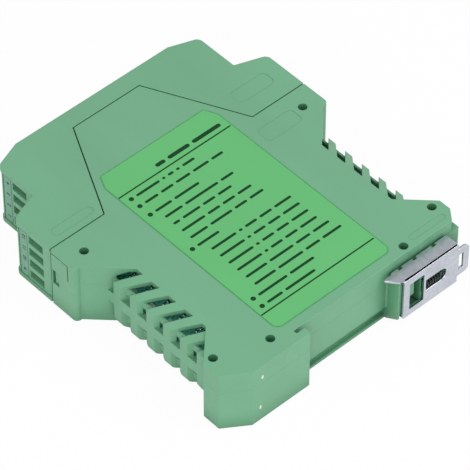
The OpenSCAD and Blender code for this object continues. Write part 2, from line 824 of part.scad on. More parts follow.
module clamp_screws() {
    color(tin)
        at_all_terminals() at_poles()
            difference() {
                union() {
                    screw_bore(screw_head_d, ledge_y, ledge_y + head_h);
                    screw_bore(screw_d, contact_y + pin_t, ledge_y + eps);
                }
                box([screw_x - screw_head_d, screw_x + screw_head_d],
                    [ledge_y + head_h / 2, ledge_y + 2 * head_h], [-head_slot / 2, head_slot / 2]);
            }
}

// Contact strip through each cage, with a tail bent to the board.
module terminal_pins() {
    color(tin)
        at_all_terminals()
            for (i = [0 : poles - 1]) {
                tail = pin_tail(i);
                z = pole_z(i);
                below = z < mid_z;
                box([pocket_x[0] - strip_lap, pocket_x[1] - strip_short], [contact_y, contact_y + pin_t],
                    [z - strip_w / 2, z + strip_w / 2]);
                box([tail - pin_t / 2, pocket_x[0]], [contact_y, contact_y + pin_t],
                    [z - pin_t / 2, z + pin_t / 2]);
                box([tail - pin_t / 2, tail + pin_t / 2], [contact_y, contact_y + pin_t],
                    below ? [z - pin_t / 2, pcb_top + tail_over] : [pcb_z - tail_over, z + pin_t / 2]);
            }
}

board_flank = [[pcb_waist_x, pcb_low], [pcb_waist_x, y_waist - pcb_flank[0]], [pcb_tier_x, y_skirt + pcb_flank[1]],
               [pcb_tier_x, pcb_step_y], [pcb_head_x, pcb_step_y], [pcb_head_x, pcb_high]];

module pcb() {
    color(board_green)
        difference() {
            slab(concat(board_flank, flip(board_flank)), pcb_z, pcb_top);
            at_all_terminals()
                for (i = [0 : poles - 1])
                    upright(pin_tail(i), contact_y + pin_t / 2, pin_t * 1.7, 0, body_t);
        }
}

// Two facing E cores: a frame with a middle leg that the coil goes round.
module transformer_core() {
    color(chip_black)
        translate([0, transformer_y, pcb_top])
            difference() {
                box([-core_x, core_x], [-core_y, core_y], [coil_t, transformer_h - coil_t]);
                for (x = [[-core_x + yoke_t, -leg_x], [leg_x, core_x - yoke_t]])
                    box(x, [-core_y + yoke_t, core_y - yoke_t], [0, transformer_h]);
            }
}

module transformer_coil() {
    x = core_x - yoke_t - coil_gap;
    y = core_y - yoke_t - coil_gap;
    hole = leg_x + coil_gap;
    color(tape_amber)
        translate([0, transformer_y, pcb_top])
            difference() {
                box([-x, x], [-y, y], [0, transformer_h]);
                box([-hole, hole], [-far, far], [coil_t - coil_gap, transformer_h - coil_t + coil_gap]);
            }
}

module capacitors() {
    color(chip_black)
        for (p = [[cap_x, cap_high], [cap_x, cap_low], [-cap_x, cap_high]])
            upright(p.x, p.y, cap_d, pcb_top, pcb_top + cap_h);
}

module optocouplers() {
    color(chip_black)
        for (i = [-3, -1, 1, 3])
            translate([i * opto_x, opto_y, pcb_top])
                box([-opto_w / 2, opto_w / 2], [-opto_l / 2, opto_l / 2], [0, opto_h]);
}

module amplifier_chips() {
    color(chip_black)
        for (i = [-1, 0, 1])
            translate([i * chip_x, chip_y, pcb_top])
                box([-chip_w / 2, chip_w / 2], [-chip_l / 2, chip_l / 2], [0, chip_h]);
}

module trimmers() {
    color(trim_blue)
        for (i = [-1, 0, 1])
            translate([i * trim_x, pcb_high - trim_in, pcb_top])
                union() {
                    box([-trim_w / 2, trim_w / 2], [-trim_l / 2, trim_l / 2], [0, trim_w]);
                    translate([0, trim_l / 2 - eps, trim_w / 2])
                        rotate([-90, 0, 0]) cylinder(d = trim_screw_d, h = trim_screw_l);
                }
}

// Rows of small parts along both edges of the board.
module chip_parts() {
    color(tin)
        both_sides()
            for (k = [0 : small_n - 1])
                translate([pcb_waist_x - small_in - small_row * (k % 2), small_y - small_pitch * k, pcb_top])
                    box([-small_w / 2, small_w / 2], [-small_l / 2, small_l / 2], [0, small_h]);
}

module status_led() {
    color(lamp_green)
        translate([led_x, 0, led_z]) {
            translate([0, y_front, 0])
                rotate([90, 0, 0]) cylinder(d = led_d, h = y_front - pcb_high + wire_in + wire_t);
            for (x = [-wire_x, wire_x])
                box([x - wire_t / 2, x + wire_t / 2], [pcb_high - wire_in, pcb_high - wire_in + wire_t],
                    [-led_lift, 0]);
        }
}

module label() {
    x = label_w / 2;
    high = y_seam + label_rise;
    low = high - label_l;
    side = [[x, low, label_foot_r], [x, high - label_cut], [x - label_cut / 2.2, high]];
    color(label_green)
        slab(softened(concat(side, flip(side)), label_r), body_t, body_t + label_t);
}

// Face of the latch, with the pull loop, the rail-side window and the spring's window.
module latch_face() {
    outline = [[latch_x, latch_low], [latch_end - loop_in, latch_low], [latch_end, z_loop[0]],
               [latch_end + loop_l - loop_cut[0], z_loop[0]], [latch_end + loop_l, z_loop[0] + loop_cut[0]],
               [latch_end + loop_l, z_loop[1] - loop_cut[1]], [latch_end + loop_l - loop_cut[1], z_loop[1]],
               [latch_end, z_loop[1]], [latch_end, latch_high], [latch_x, latch_high]];
    difference() {
        along_y(outline, latch_y, latch_y + sheet_t);
        box([latch_end + loop_in, latch_end + loop_l - loop_bar], [latch_y - 1, latch_y + 2],
            [z_loop[0] + loop_rim, z_loop[1] - loop_rim]);
        box(eye_x, [latch_y - 1, latch_y + 2], eye_z);
        box([spring_x[0], spring_x[1] + window_end - window_r], [latch_y - 1, latch_y + 2],
            [mid_z - window_r, mid_z + window_r]);
        translate([spring_x[1] + window_end - window_r, latch_y + 2, mid_z])
            rotate([90, 0, 0]) cylinder(r = window_r, h = 4);
    }
}

// One side of the latch's channel, drawn at z = 0, from the points of its rail end.
module latch_side(rail_end) {
    outline = concat([[latch_x, latch_y], [latch_end, latch_y], [latch_end, lip_y]], rail_end);
    linear_extrude(sheet_t) polygon(outline);
    box([latch_x, latch_end], [lip_y - sheet_t, lip_y], [-lip_drop, sheet_t]);
}

// Upper side with the hook that goes under the rail's edge, and notches in its inner edge.
module hooked_side() {
    hook = rail_right - latch_grip;
    catch_y = y_seat - rail_t - rail_gap;
    difference() {
        latch_side([[latch_x - hook_root[0], lip_y], [latch_x - hook_root[1], catch_y], [hook, catch_y],
                    [hook, catch_y - hook_nose], [latch_x - hook_root[2], latch_y + sheet_t]]);
        for (x = notch_x)
            box([latch_x + x, latch_x + x + notch_l], [lip_y - sheet_t, lip_y + 1],
                [-lip_drop - 1, sheet_t + 1]);
    }
}

module foot_latch() {
    color(bright_steel) {
        difference() {
            union() {
                latch_face();
                translate([0, 0, latch_high - sheet_t]) hooked_side();
            }
            box([latch_x + sheet_t, latch_end + 1], [latch_y + fold_lip, latch_y + fold_lip + fold_w],
                [latch_high - fold_depth, latch_high + 1]);
        }
        translate([0, 0, latch_low + sheet_t])
            mirror([0, 0, 1]) latch_side([[latch_x, lip_y]]);
        box([spring_x[0] - sheet_t, spring_x[0]], [latch_y + sheet_t / 2, spring_back - slide_gap],
            [mid_z - tab_h / 2, mid_z + tab_h / 2]);
    }
}

// Coil with a square wire, made by turning an arc of it up the spring's length.
module latch_spring() {
    length = spring_x[1] - spring_x[0];
    sweep = 360 * spring_wire * spring_turns / length;
    outer = spring_d / 2;
    arc = [for (s = [0 : 3]) outer * [cos(sweep * s / 3), sin(sweep * s / 3)]];
    back = [for (s = [3 : -1 : 0]) (outer - spring_wire) * [cos(sweep * s / 3), sin(sweep * s / 3)]];
    color(dark_steel)
        translate([spring_x[0], spring_y, mid_z])
            rotate([0, 90, 0])
                linear_extrude(length, twist = -360 * spring_turns, slices = 12 * spring_turns)
                    polygon(concat(arc, back));
}

base_shell();
cover_shell();
head_cap();
terminal_upper_left();
terminal_lower_left();
terminal_upper_right();
terminal_lower_right();
marker_upper_left();
marker_lower_left();
marker_upper_right();
marker_lower_right();
clamp_cages();
clamp_screws();
terminal_pins();
pcb();
transformer_core();
transformer_coil();
capacitors();
optocouplers();
amplifier_chips();
trimmers();
chip_parts();
status_led();
label();
foot_latch();
latch_spring();
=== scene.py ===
"""Looks of a DIN-rail signal isolator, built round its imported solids. Metres, in the solids' own frame."""
import math

import bmesh
import bpy
from mathutils import Matrix, Vector


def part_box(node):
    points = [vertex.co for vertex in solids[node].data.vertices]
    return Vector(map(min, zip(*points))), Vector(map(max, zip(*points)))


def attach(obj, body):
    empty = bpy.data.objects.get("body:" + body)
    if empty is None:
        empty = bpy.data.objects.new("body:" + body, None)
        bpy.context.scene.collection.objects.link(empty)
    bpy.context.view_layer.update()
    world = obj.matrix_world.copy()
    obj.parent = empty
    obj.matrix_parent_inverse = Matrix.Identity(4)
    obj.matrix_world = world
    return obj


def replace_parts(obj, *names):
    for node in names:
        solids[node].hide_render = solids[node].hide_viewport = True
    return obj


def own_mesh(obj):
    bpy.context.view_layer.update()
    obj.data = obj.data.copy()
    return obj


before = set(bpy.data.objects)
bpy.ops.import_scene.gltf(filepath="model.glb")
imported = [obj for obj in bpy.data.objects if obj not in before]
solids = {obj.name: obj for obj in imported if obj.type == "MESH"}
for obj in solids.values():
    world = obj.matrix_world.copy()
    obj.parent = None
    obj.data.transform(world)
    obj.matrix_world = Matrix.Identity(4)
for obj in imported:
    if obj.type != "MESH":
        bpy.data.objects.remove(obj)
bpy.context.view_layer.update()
MM = 0.001
HOUSING, LATCH = "housing", "latch"

# Camera, at the photograph's viewing angle
LENS_MM = 286.9
AZIMUTH = math.radians(-42.4)
ELEVATION = math.radians(47.44)
TARGET = Vector((0.23, -6.58, 11.25)) * MM
DISTANCE = 1085.3 * MM

# Colours, as linear values
PLASTIC_GREEN = (0.157, 0.398, 0.232)
LABEL_GREEN = (0.118, 0.480, 0.162)
INK = (0.005, 0.050, 0.014)
EDGE_SHADE_GREEN = (0.075, 0.310, 0.115)
MARKER_PALE = (0.168, 0.368, 0.262)
MARKER_INK = (0.010, 0.016, 0.018)
ZINC = (0.590, 0.620, 0.690)
GROOVE_SHADE = (0.090, 0.090, 0.115)
TIN = (0.620, 0.610, 0.580)
SOLDER = (0.960, 1.000, 0.980)
# The board's colours are lighter than the real lacquer: painted light for the dim inside of the housing
RESIST_GREEN_LIT = (0.040, 0.500, 0.350)
RESIST_DARK_LIT = (0.008, 0.100, 0.070)
TRACE_GREEN_LIT = (0.160, 0.740, 0.560)
EPOXY_BLACK = (0.014, 0.014, 0.016)
TAPE_AMBER = (0.560, 0.330, 0.045)
TRIMMER_BLUE = (0.012, 0.075, 0.300)
CERAMIC = (0.640, 0.920, 0.800)
LAMP_GREEN = (0.080, 0.560, 0.120)
SPRING_DARK = (0.050, 0.050, 0.056)
SPOT_WHITE = (0.740, 0.860, 0.760)

# Meshes: points that count as one, faces that count as flat, and edges that count as sharp
WELD = 1e-6
FLAT_ANGLE = math.radians(0.3)
SHARP_ANGLE = math.radians(28)
ROUND_PROFILE = 0.5

# Rounded edges with a painted highlight, and deep corners with painted shade, in the material of the moulded pieces
PLASTIC_ROUND = 0.42 * MM
EDGE_HIGHLIGHT = 1.22
EDGE_COSINES = (0.98, 0.82)
EDGE_SAMPLES = 6
CORNER_REACH = 9 * MM
CORNER_SAMPLES = 8
OPEN_SHARES = (0.28, 0.9)
# Darker copies of the colour in corners: painted shade, milder in the terminals' wire funnels
CORNER_SHADE_TINT = (0.42, 0.58, 0.50)
FUNNEL_SHADE_TINT = (0.74, 0.84, 0.79)

# Surfaces: scales of noise per metre, shares of a colour that it runs between, spreads of roughness, depths of relief
NOISE_MIDDLE = (0.3, 0.7)
NO_STRETCH = (1, 1, 1)
FLOW_SCALE = 45
FLOW_STRETCH = (1, 0.35, 1)
FLOW_TINTS = (0.965, 1.035)
GLOSS_SCALE = 900
GLOSS_SPREAD = 0.06
GRAIN_SCALE = 3200
GRAIN_DEPTH = 0.006 * MM
PACKAGE_GRAIN = 0.01 * MM
SLEEVE_GRAIN = 0.003 * MM
FILM_CLOUD_SCALE = 30
FILM_TINTS = (0.97, 1.03)
FILM_GLOSS_SCALE = 500
FILM_ROUGHNESS = (0.36, 0.46)
FILM_SPECULAR = 0.42
PEEL_SCALE = 700
PEEL_DEPTH = 0.004 * MM
COVER_SCALE = 2600
COVER_TINTS = (0.8, 1.3)
INK_GLOSS_SCALE = 1800
INK_ROUGHNESS = (0.45, 0.6)
INK_SPECULAR = 0.15
ROLLING_SCALE = 2600
ROLLING_STRETCH = (0.04, 1, 1)
ROLLING_DEPTH = 0.004 * MM
ROLLING_SPREAD = 0.07
PLATING_SCALE = 160
PLATING_TINTS = (0.92, 1.06)
CRYSTAL_SCALE = 900.0
CRYSTAL_TINT = 0.6
TRACK_SCALE = 260.0
TRACK_GAP = 0.09
TRACK_DEPTH = 0.02 * MM
LENS_SCALE = 400
LENS_TINTS = (0.8, 1.2)


def add(tree, kind, inputs=None, **settings):
    """Adds a shader node. Each input is a value, or another node's output that feeds it."""
    made = tree.nodes.new(kind)
    for name, value in settings.items():
        setattr(made, name, value)
    for name, value in (inputs or {}).items():
        if isinstance(value, bpy.types.NodeSocket):
            tree.links.new(value, made.inputs[name])
        else:
            made.inputs[name].default_value = value
    return made


def material(name, **sockets):
    """A new material, its node tree and its main shader, with constant values on the shader's sockets."""
    made = bpy.data.materials.new(name)
    made.use_nodes = True
    shader = made.node_tree.nodes["Principled BSDF"]
    for socket, value in sockets.items():
        shader.inputs[socket.replace("_", " ")].default_value = value
    return made, made.node_tree, shader


def shade(colour, factor):
    """A colour made lighter or darker, as a socket's four values."""
    return tuple(min(1.0, c * factor) for c in colour) + (1.0,)


def noise(tree, scale, stretch=NO_STRETCH, detail=3.0):
    """Noise in the solids' own metres, stretched along an axis where its factor is below one."""
    place = add(tree, "ShaderNodeTexCoord").outputs["Object"]
    spread = add(tree, "ShaderNodeMapping", {"Vector": place, "Scale": stretch})
    made = add(tree, "ShaderNodeTexNoise", {"Vector": spread.outputs["Vector"], "Scale": scale, "Detail": detail})
    return made.outputs["Fac"]


def between(tree, factor, low, high):
    """A number that runs from low to high as the factor runs over its middle range."""
    made = add(tree, "ShaderNodeMapRange", {"Value": factor, "From Min": NOISE_MIDDLE[0],
                                            "From Max": NOISE_MIDDLE[1], "To Min": low, "To Max": high})
    return made.outputs["Result"]


def tint(tree, factor, first, second):
    """A colour between two, by a factor. Either colour is four values or another node's output."""
    made = add(tree, "ShaderNodeMixRGB", {"Fac": factor, "Color1": first, "Color2": second})
    return made.outputs["Color"]


def relief(tree, shader, height, depth, base=None):
    """Fine relief on the surface, depth in metres, on top of a base normal where there is one."""
    made = add(tree, "ShaderNodeBump", {"Height": height, "Distance": depth})
    if base is not None:
        tree.links.new(base, made.inputs["Normal"])
    tree.links.new(made.outputs["Normal"], shader.inputs["Normal"])


def edge_normal(tree, radius):
    """The surface's normal, turned smoothly round sharp edges."""
    return add(tree, "ShaderNodeBevel", {"Radius": radius}, samples=EDGE_SAMPLES).outputs["Normal"]


def edge_mask(tree, rounded):
    """One on the edges, where the rounded normal leaves the face's own, and zero on the faces."""
    face = add(tree, "ShaderNodeNewGeometry").outputs["Normal"]
    likeness = add(tree, "ShaderNodeVectorMath", {0: rounded, 1: face}, operation="DOT_PRODUCT")
    made = add(tree, "ShaderNodeMapRange", {"Value": likeness.outputs["Value"], "From Min": EDGE_COSINES[0],
                                            "From Max": EDGE_COSINES[1]})
    return made.outputs["Result"]


def in_the_open(tree):
    """One on open faces, falling to zero deep in corners and recesses."""
    seen = add(tree, "ShaderNodeAmbientOcclusion", {"Distance": CORNER_REACH}, samples=CORNER_SAMPLES)
    made = add(tree, "ShaderNodeMapRange", {"Value": seen.outputs["AO"], "From Min": OPEN_SHARES[0],
                                            "From Max": OPEN_SHARES[1]})
    return made.outputs["Result"]


def moulded(name, colour, roughness=0.5, grain=GRAIN_DEPTH, corner=CORNER_SHADE_TINT):
    """Moulded plastic: flow marks, fine spark-eroded grain, uneven gloss, rounded edges with a painted highlight, and
    painted shade in corners.
    """
    made, tree, shader = material(name)
    flow = between(tree, noise(tree, FLOW_SCALE, FLOW_STRETCH), 0.0, 1.0)
    body = tint(tree, flow, shade(colour, FLOW_TINTS[0]), shade(colour, FLOW_TINTS[1]))
    rounded = edge_normal(tree, PLASTIC_ROUND)
    # Edges get a lighter copy of the colour: a painted highlight.
    edged = tint(tree, edge_mask(tree, rounded), body, shade(colour, EDGE_HIGHLIGHT))
    # Corners and recesses get a darker copy of the colour: painted shade.
    deep = tuple(c * t for c, t in zip(colour, corner)) + (1.0,)
    tree.links.new(tint(tree, in_the_open(tree), deep, edged), shader.inputs["Base Color"])
    gloss = between(tree, noise(tree, GLOSS_SCALE), roughness - GLOSS_SPREAD, roughness + GLOSS_SPREAD)
    tree.links.new(gloss, shader.inputs["Roughness"])
    relief(tree, shader, noise(tree, GRAIN_SCALE, detail=2.0), grain, rounded)
    return made


def film(name, colour):
    """Smooth film or glaze with faint clouds and orange peel."""
    made, tree, shader = material(name, Specular_IOR_Level=FILM_SPECULAR)
    clouds = between(tree, noise(tree, FILM_CLOUD_SCALE), 0, 1)
    tree.links.new(tint(tree, clouds, shade(colour, FILM_TINTS[0]), shade(colour, FILM_TINTS[1])),
                   shader.inputs["Base Color"])
    tree.links.new(between(tree, noise(tree, FILM_GLOSS_SCALE), *FILM_ROUGHNESS), shader.inputs["Roughness"])
    relief(tree, shader, noise(tree, PEEL_SCALE, detail=1.0), PEEL_DEPTH)
    return made


def ink(name, colour):
    """Screen-printed ink with slightly uneven cover."""
    made, tree, shader = material(name, Specular_IOR_Level=INK_SPECULAR)
    cover = between(tree, noise(tree, COVER_SCALE), 0, 1)
    tree.links.new(tint(tree, cover, shade(colour, COVER_TINTS[0]), shade(colour, COVER_TINTS[1])),
                   shader.inputs["Base Color"])
    tree.links.new(between(tree, noise(tree, INK_GLOSS_SCALE), *INK_ROUGHNESS), shader.inputs["Roughness"])
    return made


def plated(name, colour, roughness, stretch=ROLLING_STRETCH, spangle=0.0):
    """Bare or plated metal: fine lines along the rolling direction, cloudy plating and crystal spangles."""
    made, tree, shader = material(name, Metallic=1.0)
    lines = noise(tree, ROLLING_SCALE, stretch, detail=4.0)
    cloud = between(tree, noise(tree, PLATING_SCALE), 0, 1)
    plate = tint(tree, cloud, shade(colour, PLATING_TINTS[0]), shade(colour, PLATING_TINTS[1]))
    place = add(tree, "ShaderNodeTexCoord").outputs["Object"]
    crystals = add(tree, "ShaderNodeTexVoronoi", {"Vector": place, "Scale": CRYSTAL_SCALE})
    tone = add(tree, "ShaderNodeRGBToBW", {"Color": crystals.outputs["Color"]}).outputs["Val"]
    specks = between(tree, tone, 0.0, spangle)
    tree.links.new(tint(tree, specks, plate, shade(colour, CRYSTAL_TINT)), shader.inputs["Base Color"])
    tree.links.new(between(tree, lines, roughness - ROLLING_SPREAD, roughness + ROLLING_SPREAD),
                   shader.inputs["Roughness"])
    relief(tree, shader, lines, ROLLING_DEPTH)
    return made


def solder_resist(name):
    """Board lacquer over copper tracks, which show as paler bands. Its colours are lightened: painted light for the
    dim inside of the housing.
    """
    made, tree, shader = material(name, Roughness=0.28, Coat_Weight=0.3, Coat_Roughness=0.12)
    place = add(tree, "ShaderNodeTexCoord").outputs["Object"]
    tracks = add(tree, "ShaderNodeTexBrick", {"Vector": place, "Scale": TRACK_SCALE, "Mortar Size": TRACK_GAP,
                                              "Color1": shade(RESIST_DARK_LIT, 1.0), "Color2": shade(RESIST_GREEN_LIT, 1.0),
                                              "Mortar": shade(TRACE_GREEN_LIT, 1.0)})
    tree.links.new(tracks.outputs["Color"], shader.inputs["Base Color"])
    relief(tree, shader, tracks.outputs["Fac"], TRACK_DEPTH)
    return made


def epoxy(name, colour, roughness=0.5):
    """Moulded package of an electronic part."""
    return moulded(name, colour, roughness, PACKAGE_GRAIN)


def lamp(name):
    """Tinted lens, partly clear and slightly cloudy."""
    made, tree, shader = material(name, Roughness=0.15, Transmission_Weight=0.35, IOR=1.5)
    clouds = between(tree, noise(tree, LENS_SCALE), 0, 1)
    tree.links.new(tint(tree, clouds, shade(LAMP_GREEN, LENS_TINTS[0]), shade(LAMP_GREEN, LENS_TINTS[1])),
                   shader.inputs["Base Color"])
    return made


plastic = moulded("moulded_green", PLASTIC_GREEN)
terminal_plastic = moulded("terminal_green", PLASTIC_GREEN, corner=FUNNEL_SHADE_TINT)
label_film = film("label_film", LABEL_GREEN)
label_ink = ink("label_ink", INK)
# Ink finish for the darker line round the label's edge, which is painted shade of the film's thickness
label_edge_shade = ink("label_edge_shade", EDGE_SHADE_GREEN)
marker_plastic = moulded("marker_plastic", MARKER_PALE, roughness=0.55)
marker_ink = ink("marker_ink", MARKER_INK)
zinc = plated("zinc_sheet", ZINC, roughness=0.36, spangle=0.22)
zinc_edge = plated("zinc_edge", ZINC, roughness=0.28, stretch=(1, 1, 0.05))
# Dark, dull finish for the latch's fold groove: painted shade
fold_groove_shade = plated("fold_groove_shade", GROOVE_SHADE, roughness=0.6)
tinned = plated("tinned_metal", TIN, roughness=0.3, stretch=(1, 0.1, 1))
solder = plated("solder", SOLDER, roughness=0.2, stretch=NO_STRETCH)
spring_wire = plated("spring_wire", SPRING_DARK, roughness=0.26, stretch=NO_STRETCH)
resist = solder_resist("solder_resist")
chip_epoxy = epoxy("chip_epoxy", EPOXY_BLACK)
sleeve = moulded("capacitor_sleeve", EPOXY_BLACK, roughness=0.3, grain=SLEEVE_GRAIN)
tape = film("winding_tape", TAPE_AMBER)
trimmer_blue = epoxy("trimmer_blue", TRIMMER_BLUE, roughness=0.35)
ceramic = film("ceramic", CERAMIC)
lamp_green = lamp("lamp_lens")
pale_spot = moulded("pale_spot", SPOT_WHITE, roughness=0.35)

TERMINALS = [f"terminal_{tier}_{side}" for tier in ("upper", "lower") for side in ("left", "right")]
MARKERS = [name.replace("terminal", "marker") for name in TERMINALS]
FINISHES = {
    plastic: ["base_shell", "cover_shell", "head_cap"],
    terminal_plastic: TERMINALS,
    marker_plastic: MARKERS,
    tinned: ["clamp_cages", "clamp_screws", "terminal_pins"],
    resist: ["pcb"],
    chip_epoxy: ["transformer_core", "optocouplers", "amplifier_chips"],
    tape: ["transformer_coil"],
    sleeve: ["capacitors"],
    trimmer_blue: ["trimmers"],
    ceramic: ["chip_parts"],
    lamp_green: ["status_led"],
    label_film: ["label"],
    zinc: ["foot_latch"],
    spring_wire: ["latch_spring"],
}
for finish, names in FINISHES.items():
    for name in names:
        solids[name].data.materials.clear()
        solids[name].data.materials.append(finish)


def piece(name, mesh, body, slot, *finishes):
    """A new piece of the object, riding on a body."""
    made = bpy.data.objects.new(name, mesh)
    bpy.context.scene.collection.objects.link(made)
    for finish in finishes:
        mesh.materials.append(finish)
    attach(made, body)
    return made


def whole_faces(node):
    """An editable copy of a solid's mesh, with each flat face in one."""
    shape = bmesh.new()
    shape.from_mesh(solids[node].data)
    bmesh.ops.remove_doubles(shape, verts=shape.verts, dist=WELD)
    bmesh.ops.dissolve_limit(shape, angle_limit=FLAT_ANGLE, verts=shape.verts, edges=shape.edges)
    return shape


def as_mesh(shape, name):
    """The mesh of a shape that is done."""
    mesh = bpy.data.meshes.new(name)
    shape.to_mesh(mesh)
    shape.free()
    return mesh


# Rounded edges of the latch's sheet, and the places of their finish and the groove's painted shade in its list of
# finishes
SHEET_ROUND = 0.16 * MM
SHEET_SEGMENTS = 2
EDGE_FINISH = 1
GROOVE_FINISH = 2
# The groove along the latch's fold: from and to, in from the sheet's outer face and down from its top
GROOVE_IN = (0.25 * MM, 0.75 * MM)
GROOVE_DOWN = (0.06 * MM, 0.65 * MM)


def soft_edged(node, body, slot, width, *finishes):
    """A copy of a sheet's solid that stands for it, with its outer edges rounded and in the second finish."""
    shape = whole_faces(node)
    for face in shape.faces:
        face.material_index = 0
    outer = [e for e in shape.edges if e.is_manifold and e.is_convex and e.calc_face_angle() > SHARP_ANGLE]
    bmesh.ops.bevel(shape, geom=outer, offset=width, offset_type="OFFSET", segments=SHEET_SEGMENTS,
                    profile=ROUND_PROFILE, affect="EDGES", clamp_overlap=False, material=EDGE_FINISH)
    mesh = as_mesh(shape, node + "_soft_edged")
    for polygon in mesh.polygons:
        polygon.use_smooth = True
    mesh.set_sharp_from_angle(angle=SHARP_ANGLE)
    made = piece(node + "_soft_edged", mesh, body, slot, *finishes)
    keep_flat = made.modifiers.new("keep_flat", "WEIGHTED_NORMAL")
    keep_flat.keep_sharp = True
    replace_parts(made, node)
    return made


latch = soft_edged("foot_latch", LATCH, "latch_steel", SHEET_ROUND, zinc, zinc_edge, fold_groove_shade)
# The groove's faces take a dark, dull finish: painted shade in the groove.
latch_low, latch_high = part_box("foot_latch")
for polygon in latch.data.polygons:
    inwards = polygon.center.y - latch_low.y
    downwards = latch_high.z - polygon.center.z
    if GROOVE_IN[0] < inwards < GROOVE_IN[1] and GROOVE_DOWN[0] < downwards < GROOVE_DOWN[1]:
        polygon.material_index = GROOVE_FINISH


# The louvre blades' lower ends: three corners of the solid's profile, as x and z in millimetres, and where each goes
# so that the blades end in rounder lobes. The blades slant, so a corner that moves outwards also moves along Y.
LOBE_KNEE = (41.8, 2.25)
LOBE_CORNERS = {(42.1, 5.0): (42.1, 4.4), (41.2, 2.8): LOBE_KNEE, (39.5, 1.1): (40.4, 2.5)}
LOBE_Y = (-36.5 * MM, 0)
LOBE_SLANT = 1.09
LOBE_ROUND = 0.6 * MM
LOBE_SEGMENTS = 4
NEAR = 0.05 * MM


def at_profile(point, corner):
    """Whether a point lies on a corner of the louvre walls' profile, on either side."""
    return abs(abs(point.x) - corner[0] * MM) < NEAR and abs(point.z - corner[1] * MM) < NEAR


def lobed_base():
    """A copy of the base's shell that stands for it, with round lobes under its louvre blades."""
    shape = whole_faces("base_shell")
    for vert in shape.verts:
        for old, new in LOBE_CORNERS.items():
            if LOBE_Y[0] < vert.co.y < LOBE_Y[1] and at_profile(vert.co, old):
                vert.co = (math.copysign(new[0] * MM, vert.co.x), vert.co.y + (new[0] - old[0]) * MM * LOBE_SLANT,
                           new[1] * MM)
                break
    knees = [e for e in shape.edges if all(at_profile(v.co, LOBE_KNEE) for v in e.verts)]
    bmesh.ops.bevel(shape, geom=knees, offset=LOBE_ROUND, offset_type="OFFSET", segments=LOBE_SEGMENTS,
                    profile=ROUND_PROFILE, affect="EDGES", clamp_overlap=True)
    mesh = as_mesh(shape, "base_shell_lobed")
    made = piece("base_shell_lobed", mesh, HOUSING, "housing", plastic)
    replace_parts(made, "base_shell")


lobed_base()


# Solder on the board, which glints through the louvres. Faces with more corners than a dome's are the domes' flat
# feet.
SOLDER_D = 1.1 * MM
SOLDER_FLAT = 0.7
DOME_SEGMENTS = 12
DOME_RINGS = 8
DOME_CORNERS = 4
SOLDER_X = (31.7 * MM, 33.3 * MM)
SOLDER_Y = (1.2 * MM, -6.2 * MM, -13.3 * MM, -20.2 * MM, -27.3 * MM)
board_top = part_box("pcb")[1].z


def solder_joints():
    """Low domes of solder in two rows along each side of the board."""
    shape = bmesh.new()
    for x in (*SOLDER_X, *(-x for x in SOLDER_X)):
        for y in SOLDER_Y:
            place = Matrix.Translation((x, y, board_top)) @ Matrix.Diagonal((1, 1, SOLDER_FLAT, 1))
            bmesh.ops.create_uvsphere(shape, u_segments=DOME_SEGMENTS, v_segments=DOME_RINGS, radius=SOLDER_D / 2,
                                      matrix=place)
    bmesh.ops.bisect_plane(shape, geom=[*shape.verts, *shape.edges, *shape.faces], dist=WELD,
                           plane_co=(0, 0, board_top), plane_no=(0, 0, 1), clear_inner=True)
    bmesh.ops.holes_fill(shape, edges=[e for e in shape.edges if e.is_boundary])
    bmesh.ops.recalc_face_normals(shape, faces=shape.faces)
    mesh = as_mesh(shape, "solder_joints")
    for polygon in mesh.polygons:
        polygon.use_smooth = len(polygon.vertices) <= DOME_CORNERS
    piece("solder_joints", mesh, HOUSING, "tinned_metal", solder)


solder_joints()


# Print: its thickness, and the steps of its round outlines
PRINT_T = 0.015 * MM
BAR_STEPS = 6
DISC_SIDES = 20


def thicken(shape, step):
    """Turns loose flat faces into thin closed solids, one step thick."""
    raised = bmesh.ops.extrude_face_region(shape, geom=shape.faces[:])
    bmesh.ops.translate(shape, vec=step, verts=[v for v in raised["geom"] if isinstance(v, bmesh.types.BMVert)])
    bmesh.ops.recalc_face_normals(shape, faces=shape.faces)


def flat_shape(name, outlines, z, thickness, body, slot, finish):
    """Flat shapes of one thickness lying at a height, as one piece."""
    shape = bmesh.new()
    for outline in outlines:
        shape.faces.new([shape.verts.new((x, y, z)) for x, y in outline])
    thicken(shape, (0, 0, thickness))
    return piece(name, as_mesh(shape, name), body, slot, finish)


def bar(x0, x1, y, height):
    """Outline of a bar with round ends."""
    r = height / 2
    steps = [math.pi * i / BAR_STEPS for i in range(BAR_STEPS + 1)]
    right = [(x1 - r + r * math.sin(a), y - r * math.cos(a)) for a in steps]
    left = [(x0 + r - r * math.sin(a), y + r * math.cos(a)) for a in steps]
    return right + left


def disc(x, y, diameter):
    """Outline of a disc."""
    r = diameter / 2
    turn = 2 * math.pi / DISC_SIDES
    return [(x + r * math.cos(i * turn), y + r * math.sin(i * turn)) for i in range(DISC_SIDES)]


# Print on the label: two rules, bullets, and rows of round-ended bars. Its top is flush with the solid's upper face.
label_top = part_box("label")[1].z - PRINT_T
RULE_X = (-22.0 * MM, 21.6 * MM)
RULE_Y = (18.85 * MM, -41.85 * MM)
RULE_W = 0.5 * MM
BAR_H = 0.9 * MM
BAR_GAP = 1.2 * MM
TITLE_X = -5.5 * MM
TITLE_Y = 21.3 * MM
TITLE_BAR_H = 1.4 * MM
TITLE_BARS = (3.6, 8.3, 11.0)
BULLET_X = -19.4 * MM
BULLET_D = 1.6 * MM
ROW_X = -17.4 * MM
FIRST_ROW_Y = 16.2 * MM
ROW_PITCH = 3.62 * MM
